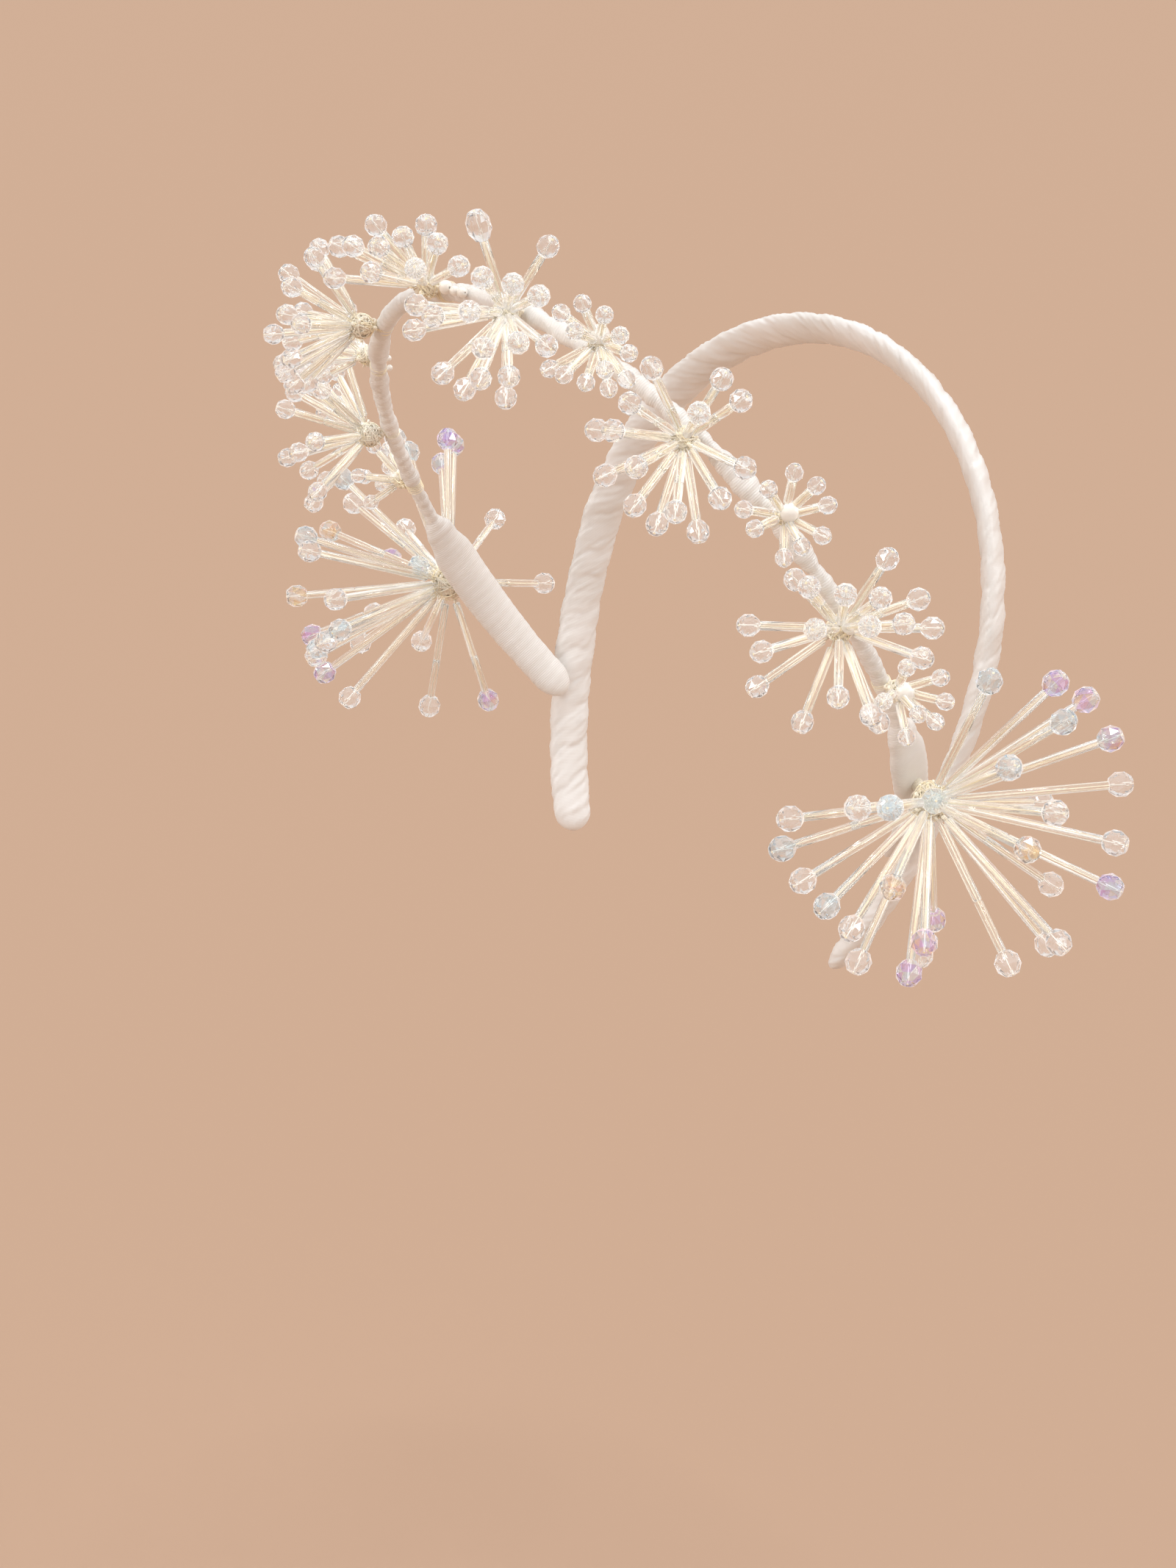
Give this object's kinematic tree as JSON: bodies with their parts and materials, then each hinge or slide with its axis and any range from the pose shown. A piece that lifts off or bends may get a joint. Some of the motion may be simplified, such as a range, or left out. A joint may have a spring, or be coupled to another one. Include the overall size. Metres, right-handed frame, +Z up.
{
  "type": "tiara",
  "caption": "Bridal tiara of a wrapped front band and a padded satin back band, dressed along the front with bursts of glass rods tipped with cut crystals.",
  "frame": {"origin": "underside of the top of the front band, where the wearer's head carries the tiara", "axes": "+X to the wearer's left, -Y to the face, +Z up, as worn"},
  "size_m": [0.2644, 0.1426, 0.1895],
  "materials": {
    "satin": "ivory satin ribbon",
    "champagne_glass": "clear glass over champagne thread",
    "pearl": "ivory pearl"
  },
  "bodies": {
    "root": {"back_band": "satin", "front_band": "satin", "burst_centre": "champagne_glass", "burst_inner_right": "champagne_glass", "spray_inner_left": "champagne_glass", "burst_upper_left": "champagne_glass", "burst_upper_right": "champagne_glass", "spray_upper_left": "champagne_glass", "spray_upper_right": "champagne_glass", "burst_side_left": "champagne_glass", "burst_side_right": "champagne_glass", "spray_side_left": "champagne_glass", "spray_side_right": "champagne_glass", "burst_large_left": "champagne_glass", "burst_large_right": "champagne_glass", "pearl_outer": "pearl", "pearl_middle": "pearl", "pearl_inner": "pearl"}
  },
  "joints": []
}
